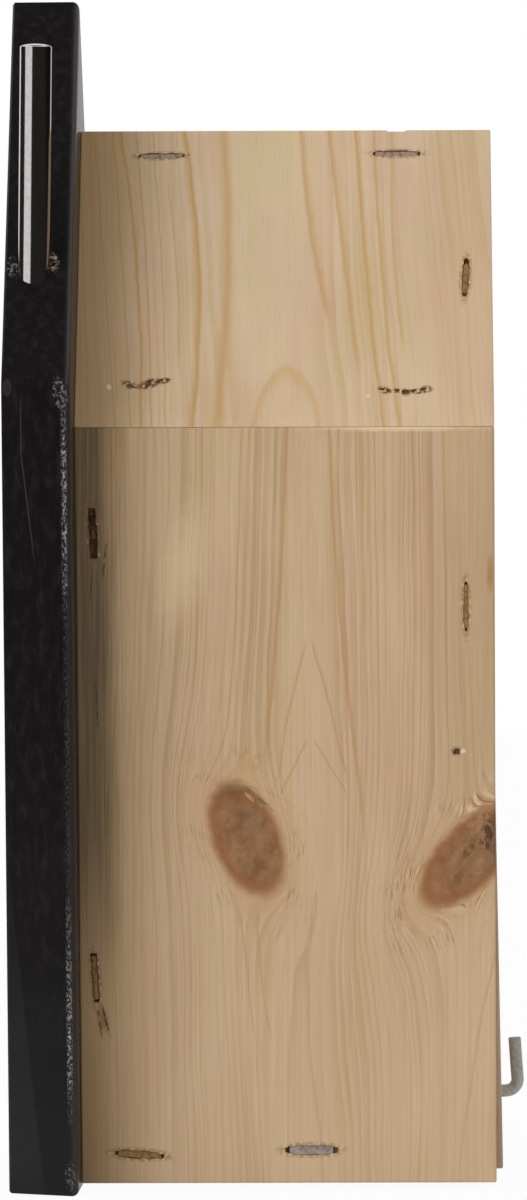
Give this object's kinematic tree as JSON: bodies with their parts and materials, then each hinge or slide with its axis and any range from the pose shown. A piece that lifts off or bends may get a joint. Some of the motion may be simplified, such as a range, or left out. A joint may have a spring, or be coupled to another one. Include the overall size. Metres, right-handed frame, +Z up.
{
  "type": "bird nest box",
  "caption": "House-shaped bird nest box: black gabled front board with entrance hole and steel chimney rod on a stapled pine box with a hinged clean-out door and turning latch hook.",
  "frame": {"origin": "under the middle of the whole object, at the height of the front board's bottom edge", "axes": "+Z up, front faces -Y, the chimney side is +X"},
  "size_m": [0.2, 0.132, 0.3],
  "materials": {
    "black_paint": "black paint on sawn wood, worn edges",
    "pine": "planed raw pine",
    "polished_steel": "polished",
    "zinc_wire": "dull zinc plate",
    "fastener_steel": "dull galvanised"
  },
  "bodies": {
    "box": {"front_board": "black_paint", "chimney_rod": "polished_steel", "front_screws": "fastener_steel", "side_wall_right": "pine", "side_wall_left": "pine", "roof_board_right": "pine", "roof_board_left": "pine", "floor_panel": "pine", "inner_front_panel": "pine", "back_panel": "pine", "floor_staples_right": "fastener_steel", "floor_staples_left": "fastener_steel", "panel_staples_right": "fastener_steel", "panel_staples_left": "fastener_steel", "back_staples_right": "fastener_steel", "back_staples_left": "fastener_steel", "eave_staples_right": "fastener_steel", "eave_staples_left": "fastener_steel", "ridge_staples": "fastener_steel", "pivot_nail_right": "fastener_steel", "pivot_nail_left": "fastener_steel"},
    "door": {"clean_out_door": "pine"},
    "latch": {"latch_hook": "zinc_wire"}
  },
  "joints": [
    {"name": "door_swing", "type": "hinge", "parent": "box", "child": "door", "pos_m": [0, 0.04727, 0.10975], "axis": [1, 0, 0], "range_deg": [-0.8, 95]},
    {"name": "latch_turn", "type": "hinge", "parent": "box", "child": "latch", "pos_m": [-0.069, 0.05702, 0.0172], "axis": [0, 1, 0], "range_deg": [-90, 90]}
  ]
}
